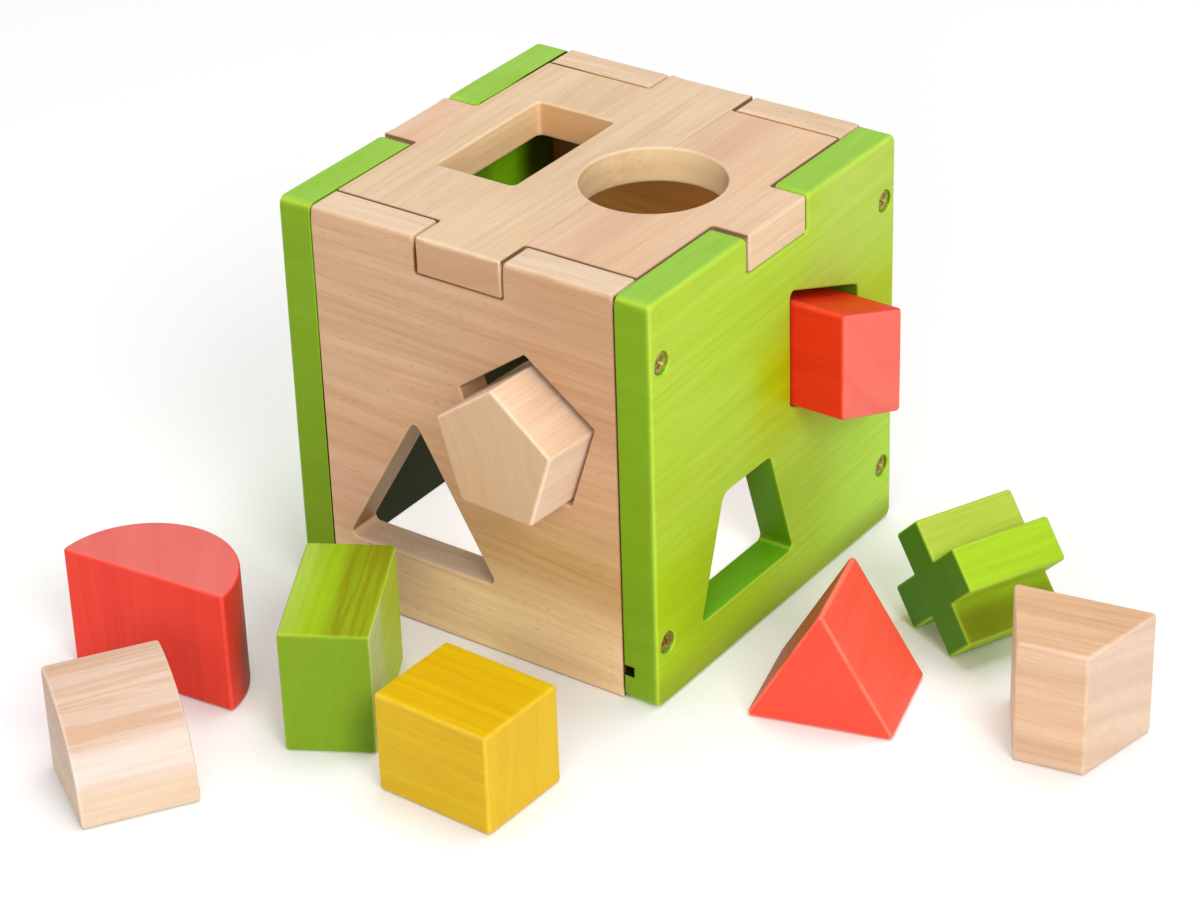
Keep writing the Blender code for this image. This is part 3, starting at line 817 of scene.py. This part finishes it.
PENTAGON_WOOD = MAPLE._replace(patches=(Patch(shown(246, 224, 204), 0.85, (), PENTAGON_LOW_SIDE),))
RHOMBUS_WOOD = RED._replace(
    light=shown(226, 52, 18), dark=shown(210, 40, 12), end=shown(254, 116, 100), worn=0.15,
    patches=(Patch(shown(254, 116, 100), 0.9, (), RIGHT),))
RECTANGLE_WOOD = GREEN._replace(
    light=shown(160, 192, 28), dark=shown(142, 174, 18), end=shown(120, 154, 34), worn=0.12, patches=(
        Patch(shown(184, 210, 100), 0.6, (Ramp(-heading(RECTANGLE_SIDE), 4.0, 14.0),), UP),
        # painted reflection of the box: an olive stretch on the top at its right
        Patch(shown(140, 138, 4), 0.85, (Ramp(heading(RECTANGLE_SIDE), -3.0, 1.0),), UP, 0.5),
        # painted light: the side by the box is lit up against its shade, palest at its front
        Patch(shown(198, 226, 72), 0.95, (), heading(RECTANGLE_SIDE)),
        Patch(shown(216, 234, 184), 0.8, (Ramp(heading(RECTANGLE_SIDE - 90.0), -2.0, 14.0),),
              heading(RECTANGLE_SIDE)),
        # painted shade: the lower right of the front face, by the yellow block
        Patch(shown(74, 112, 20), 0.5, (Ramp(heading(RECTANGLE_SIDE), 2.0, 15.0), Ramp(-UP, -6.0, 14.0)),
              heading(RECTANGLE_SIDE - 90.0))))
TRAPEZOID_WOOD = MAPLE._replace(
    light=shown(228, 194, 164), dark=shown(202, 160, 128), end=shown(228, 203, 180), streak=0.45, worn=0.25,
    patches=(Patch(shown(228, 190, 154), 0.92, (), UP),))
HALF_ROUND_WOOD = RED._replace(
    # the pale pink end on top is partly end grain and partly painted sheen
    light=shown(236, 68, 50), dark=shown(222, 54, 40), end=shown(222, 118, 110), edge=shown(255, 96, 84),
    # painted shade on the back of the curved side
    worn=0.45, patches=(Patch(shown(84, 26, 18), 0.8, (Ramp(-UP, -20.0, 4.0),), heading(HALF_ROUND_BACK)),))
# The pale band between the orange-tan top and the cream bottom is partly the pale wood and partly painted
# sheen
QUARTER_ROUND_WOOD = PALE._replace(
    light=shown(228, 212, 202), dark=shown(214, 190, 172), patches=(
        Patch(shown(204, 166, 136), 0.85, (Ramp(UP, 3.0, 8.0),), streaks=0.5),
        Patch(shown(228, 204, 174), 0.7, (Ramp(-UP, 4.0, 12.0),), streaks=0.3)))
SQUARE_WOOD = YELLOW._replace(patches=(Patch(shown(222, 184, 0), 0.97, (), UP),))
TRIANGLE_WOOD = RED._replace(
    light=shown(250, 98, 76), dark=shown(240, 84, 60), end=shown(242, 78, 58),
    # painted shade with a painted green reflection on the far side, which faces the green wall
    patches=(Patch(shown(136, 66, 4), 0.65, (), TRIANGLE_FAR_SIDE),))
CROSS_WOOD = GREEN._replace(
    light=shown(166, 204, 40), dark=shown(150, 184, 30), end=shown(70, 128, 24), end_share=0.95, patches=(
        Patch(shown(194, 204, 96), 0.6, (Ramp(-heading(CROSS_SIDE), -5.0, 0.0),), CROSS_UPPER_SIDE),
        # painted shade low on the upper sides
        Patch(shown(116, 112, 4), 0.7, (Ramp(-UP, -3.0, 6.0),), CROSS_UPPER_SIDE)))

# The ten blocks: name, the way an end faces, the way the fibres run, the wood and its slot
BLOCKS = (
    ("pentagon_block", -BACK, heading(PENTAGON_GRAIN), PENTAGON_WOOD, "natural_block_wood"),
    ("rhombus_block", RIGHT, RIGHT, RHOMBUS_WOOD, "red_wood"),
    ("cylinder_block", UP, UP, YELLOW, "yellow_wood"),
    ("rectangle_block", UP, heading(RECTANGLE_SIDE + 90.0), RECTANGLE_WOOD, "green_wood"),
    ("trapezoid_block", UP, heading(TRAPEZOID_GRAIN), TRAPEZOID_WOOD, "natural_block_wood"),
    ("half_round_block", UP, UP, HALF_ROUND_WOOD, "red_wood"),
    ("quarter_round_block", heading(QUARTER_ROUND_END), heading(QUARTER_ROUND_END), QUARTER_ROUND_WOOD,
     "pale_block_wood"),
    ("square_block", RIGHT, RIGHT, SQUARE_WOOD, "yellow_wood"),
    ("triangle_block", heading(TRIANGLE_END), heading(TRIANGLE_END), TRIANGLE_WOOD, "red_wood"),
    ("cross_block", heading(CROSS_END), heading(CROSS_END), CROSS_WOOD, "green_wood"),
)

# Seeds of what chance decides in each piece
FRONT_WALL_SEED, BACK_WALL_SEED, LEFT_WALL_SEED, RIGHT_WALL_SEED = 11, 12, 13, 14
LID_SEED = 15
BOARD_SEED = 16
SCREW_SEED = 17
FIRST_BLOCK_SEED = 21


# ---------------------------------------------------------------- pieces

def in_own_frame(node, end):
    """A piece's frame: the origin at its middle, and w out of its end."""
    low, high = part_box(node)
    w_axis = main_direction(node, end)
    u_axis = RIGHT if abs(w_axis.z) > 0.5 else UP.cross(w_axis)
    place = Matrix((u_axis, w_axis.cross(u_axis), w_axis)).transposed().to_4x4()
    place.translation = (low + high) / 2.0
    return place


def stand_for(piece, node):
    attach(piece, frame["nodes"][node]["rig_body"])
    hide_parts(node)


def wooden_piece(node, end, grain, wood, seed, edge_radius, least_radius, cutter=None):
    """Build one wooden piece from its CAD outline, and let it stand for its CAD node."""
    place = in_own_frame(node, end)
    loops, low, high = end_loops(node, place)

    def in_row(point):
        return place @ Vector((point.x, point.y, 0.0))

    def wanted_corner(corner):
        return least_radius(in_row(corner.point))

    def wanted_edge(outline, point, end_index):
        return edge_radius(in_row(point), outline.is_hole, end_index)

    outlines = [make_outline(points, wanted_corner) for points in loops if girth(points) > BORE_GIRTH]
    outlines.sort(key=lambda outline: outline.is_hole)
    piece = rounded_prism(f"{node}_finished", outlines, low, high, wanted_edge, place, seed)
    if cutter:
        cut(piece, cutter(node))
    smooth(piece)
    grain = grain.normalized()
    across = place.col[2].xyz if abs(grain.dot(place.col[2].xyz)) < 0.5 else UP.cross(grain)
    if across.length < 0.5:
        across = RIGHT
    across = (across - grain * across.dot(grain)).normalized()
    material = wood_material(f"{node}_wood", wood, place.translation, grain, across, seed)
    piece.data.materials.clear()
    piece.data.materials.append(material)
    stand_for(piece, node)


def girth(points):
    return sum((point - points[index - 1]).length for index, point in enumerate(points))


def on_box_side(point):
    """True on the outer faces of the box, seen from above."""
    across = [abs(point.x - BOX_LOW.x), abs(point.x - BOX_HIGH.x)]
    deep = [abs(point.y - BOX_LOW.y), abs(point.y - BOX_HIGH.y)]
    return min(across + deep) < SEAM_EDGE


def side_wall_edge(point, is_hole, end):
    if is_hole:
        return HOLE_EDGE if end else INNER_EDGE
    return BOX_EDGE if end else INNER_EDGE


def end_wall_edge(point, is_hole, end):
    if is_hole:
        return HOLE_EDGE if end else INNER_EDGE
    if not end:
        return INNER_EDGE
    if point.z < BOX_LOW.z + BOX_EDGE:
        return FOOT_EDGE
    return BOX_EDGE if point.z > BOX_HIGH.z - 2.0 * BOX_EDGE else SEAM_EDGE


def lid_edge(point, is_hole, end):
    if is_hole:
        return HOLE_EDGE if end else LID_UNDER_EDGE
    if on_box_side(point):
        return BOX_EDGE if end else INNER_EDGE
    return SEAM_EDGE if end else INNER_EDGE


def block_edge(point, is_hole, end):
    return BLOCK_EDGE


def side_wall_corner(point):
    return SIDE_NOTCH_CORNER if point.z > BOX_HIGH.z - BOX_EDGE else 0.0


def end_wall_corner(point):
    return END_NOTCH_CORNER if point.z > BOX_HIGH.z - BOX_EDGE else 0.0


def lid_corner(point):
    return SEAM_EDGE


def block_corner(point):
    return BLOCK_CORNER


def screw_nodes():
    return [name for name in frame["nodes"] if "_screw_" in name]


def screw_frame(node):
    """The middle of a screw's head, z pointing out of the box, and its length and head radius."""
    low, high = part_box(node)
    outward = RIGHT if low.x > (BOX_LOW.x + BOX_HIGH.x) / 2.0 else -RIGHT
    centre = (low + high) / 2.0
    head = Vector((high.x if outward.x > 0.0 else low.x, centre.y, centre.z))
    across = UP.cross(outward)
    place = Matrix((across, UP, outward)).transposed().to_4x4()
    place.translation = head
    return place, high.x - low.x, (high.z - low.z) / 2.0


def wall_cuts(node):
    """The groove for the board, and the bores of the screws that meet this wall."""
    shape = bmesh.new()
    board_low, board_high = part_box("bottom_board")
    wall_low, wall_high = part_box(node)
    groove_low = board_low - Vector((GROOVE_GAP,) * 3)
    groove_high = board_high + Vector((GROOVE_GAP,) * 3)
    if node in ("left_wall", "right_wall"):
        groove_low.y, groove_high.y = wall_low.y - CUT_PAST, wall_high.y + CUT_PAST
    else:
        groove_low.x, groove_high.x = wall_low.x - CUT_PAST, wall_high.x + CUT_PAST
    add_box(shape, groove_low, groove_high)
    for screw in screw_nodes():
        low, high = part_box(screw)
        if all(low[axis] < wall_high[axis] and high[axis] > wall_low[axis] for axis in range(3)):
            place, length, radius = screw_frame(screw)
            sunk = abs((BOX_HIGH.x if place.col[2].x > 0.0 else BOX_LOW.x) - place.translation.x)
            mouth = radius + BORE_GAP
            shank = SCREW_SHANK_RADIUS + BORE_GAP
            chamfer = mouth + BORE_CHAMFER
            profile = [(0.0, -length - BORE_GAP), (shank, SCREW_POINT - length), (shank, -SCREW_CONE),
                       (mouth, -BORE_GAP), (mouth, sunk - BORE_CHAMFER), (chamfer, sunk),
                       (chamfer + CUT_PAST, sunk + CUT_PAST), (0.0, sunk + CUT_PAST)]
            add_turned(shape, profile, place)
    return shape


def make_box():
    level = RIGHT - UP * FIBRE_TILT
    deep = BACK + UP * FIBRE_TILT
    for node, outward, wood, seed in (("front_wall", -BACK, FRONT_WALL, FRONT_WALL_SEED),
                                      ("back_wall", BACK, BACK_WALL, BACK_WALL_SEED)):
        wooden_piece(node, outward, level, wood, seed, end_wall_edge,
                     end_wall_corner, wall_cuts)
    for node, outward, seed in (("left_wall", -RIGHT, LEFT_WALL_SEED),
                                ("right_wall", RIGHT, RIGHT_WALL_SEED)):
        wooden_piece(node, outward, deep, side_wall(outward), seed, side_wall_edge,
                     side_wall_corner, wall_cuts)
    wooden_piece("lid", UP, BACK, LID, LID_SEED, lid_edge, lid_corner)


def make_board():
    place = in_own_frame("bottom_board", UP)
    loops, low, high = end_loops("bottom_board", place)
    outline = make_outline(loops[0], lambda corner: INNER_EDGE)
    board = rounded_prism("bottom_board_finished", [outline], low, high,
                          lambda outline, point, end_index: INNER_EDGE / 2.0, place, BOARD_SEED)
    smooth(board)
    board.data.materials.append(board_material())
    stand_for(board, "bottom_board")


def screw_profile(length, head):
    """Radius and height from the point, up the threads and the cone, to the middle of the head."""
    profile = [(0.0, -length)]
    bottom, top = SCREW_POINT - length, -SCREW_CONE - THREAD_PITCH
    height = bottom
    while height < top:
        profile.append((SCREW_SHANK_RADIUS, height))
        profile.append((SCREW_SHANK_RADIUS - THREAD_DEPTH, height + THREAD_PITCH / 2.0))
        height += THREAD_PITCH
    profile += [(SCREW_SHANK_RADIUS, top), (SCREW_SHANK_RADIUS, -SCREW_CONE),
                (head, -1.5 * SCREW_RIM), (head, -SCREW_RIM), (head - SCREW_RIM, 0.0), (0.0, 0.0)]
    return profile


def recess_shape(place):
    """A cross-shaped hole for the driver that narrows towards its bottom."""
    shape = bmesh.new()
    rings = []
    for scale, height in ((RECESS_TAPER, -RECESS_DEPTH), (1.0, 0.0), (1.0, RECESS_DEPTH)):
        ring = []
        for quarter in range(4):
            spin = Matrix.Rotation(math.pi / 2.0 * quarter, 3, 'Z')
            arm = ((RECESS_HALF, -RECESS_REACH), (RECESS_HALF, -RECESS_HALF), (RECESS_REACH, -RECESS_HALF))
            for u, v in arm:
                corner = spin @ Vector((u * scale, v * scale, height))
                ring.append(shape.verts.new(place @ corner))
        rings.append(ring)
    for lower, upper in zip(rings, rings[1:]):
        for index in range(len(lower)):
            after = (index + 1) % len(lower)
            shape.faces.new((lower[index], lower[after], upper[after], upper[index]))
    shape.faces.new(rings[0])
    shape.faces.new(rings[-1])
    return shape


def make_screws():
    """Eight threaded screws that share one mesh."""
    material = screw_material()
    turns = random.Random(SCREW_SEED)
    mesh = None
    for node in sorted(screw_nodes()):
        place, length, head = screw_frame(node)
        if mesh is None:
            shape = bmesh.new()
            add_turned(shape, screw_profile(length, head), Matrix.Identity(4))
            bmesh.ops.recalc_face_normals(shape, faces=shape.faces)
            mesh = bpy.data.meshes.new("threaded_screw")
            shape.to_mesh(mesh)
            shape.free()
            master = bpy.data.objects.new("threaded_screw", mesh)
            bpy.context.scene.collection.objects.link(master)
            cut(master, recess_shape(Matrix.Identity(4)))
            mesh = master.data
            bpy.data.objects.remove(master)
            mesh.materials.clear()
            mesh.materials.append(material)
            mesh.shade_smooth()
            mesh.set_sharp_from_angle(angle=SMOOTH_ANGLE)
        screw = bpy.data.objects.new(f"{node}_finished", mesh)
        bpy.context.scene.collection.objects.link(screw)
        screw.matrix_world = place @ Matrix.Rotation(turns.uniform(0.0, math.pi / 2.0), 4, 'Z')
        stand_for(screw, node)


def make_blocks():
    for index, (node, end, grain, wood, slot) in enumerate(BLOCKS):
        wooden_piece(node, end, grain, wood, FIRST_BLOCK_SEED + index, block_edge, block_corner)


# ---------------------------------------------------------------- stage

CAMERA_AIM = Vector((83.0, 61.8, 48.5)) * MM        # from the box's front left bottom corner
CAMERA_DISTANCE = 1220.0 * MM
CAMERA_AZIMUTH = math.radians(35.94)
CAMERA_ELEVATION = math.radians(30.15)
CAMERA_ROLL = math.radians(-1.886)
CAMERA_LENS = 106.6
CAMERA_SENSOR = 36.0
FLOOR_REACH = 6.0
FLOOR_DROP = 0.2 * MM
FLOOR_TONE = (0.93, 0.93, 0.93, 1.0)
FLOOR_ROUGHNESS = 0.9
LIGHT_AIM = Vector((0.0, 0.0, 0.06))
LIGHTS = (
    ("key", Vector((2.1, -1.2, 2.0)), 1.4, 37.0),
    ("top", Vector((0.1, 0.5, 2.8)), 2.0, 40.0),
    ("front", Vector((0.9, -2.5, 1.15)), 1.6, 25.0),
)
STUDIO_TONE = (1.0, 1.0, 1.0, 1.0)
STUDIO_STRENGTH = 0.42


def make_camera():
    data = bpy.data.cameras.new("camera")
    data.lens = CAMERA_LENS
    data.sensor_width = CAMERA_SENSOR
    camera = bpy.data.objects.new("camera", data)
    bpy.context.scene.collection.objects.link(camera)
    back = Vector((math.sin(CAMERA_AZIMUTH) * math.cos(CAMERA_ELEVATION),
                   -math.cos(CAMERA_AZIMUTH) * math.cos(CAMERA_ELEVATION), math.sin(CAMERA_ELEVATION)))
    camera.location = BOX_LOW + CAMERA_AIM + back * CAMERA_DISTANCE
    look = (-back).to_track_quat('-Z', 'Y').to_matrix() @ Matrix.Rotation(CAMERA_ROLL, 3, 'Z')
    camera.rotation_euler = look.to_euler()
    bpy.context.scene.camera = camera


def make_light(name, place, size, power):
    data = bpy.data.lights.new(name, 'AREA')
    data.shape = 'DISK'
    data.size = size
    data.energy = power
    light = bpy.data.objects.new(name, data)
    bpy.context.scene.collection.objects.link(light)
    light.location = place
    light.rotation_euler = (LIGHT_AIM - place).to_track_quat('-Z', 'Y').to_euler()


def make_stage():
    mesh = bpy.data.meshes.new("floor")
    corners = [(-FLOOR_REACH, -FLOOR_REACH), (FLOOR_REACH, -FLOOR_REACH), (FLOOR_REACH, FLOOR_REACH),
               (-FLOOR_REACH, FLOOR_REACH)]
    mesh.from_pydata([(x, y, -FLOOR_DROP) for x, y in corners], [], [(0, 1, 2, 3)])
    floor = bpy.data.objects.new("floor", mesh)
    bpy.context.scene.collection.objects.link(floor)
    g = Graph("floor_paper")
    g.set_shader(Base_Color=FLOOR_TONE, Roughness=FLOOR_ROUGHNESS)
    mesh.materials.append(g.material)
    for name, place, size, power in LIGHTS:
        make_light(name, place, size, power)
    world = bpy.data.worlds.new("studio")
    world.use_nodes = True
    background = world.node_tree.nodes["Background"].inputs
    background["Color"].default_value = STUDIO_TONE
    background["Strength"].default_value = STUDIO_STRENGTH
    bpy.context.scene.world = world
    bpy.context.scene.view_settings.view_transform = 'Standard'


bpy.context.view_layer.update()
make_camera()
make_box()
make_board()
make_screws()
make_blocks()
make_stage()
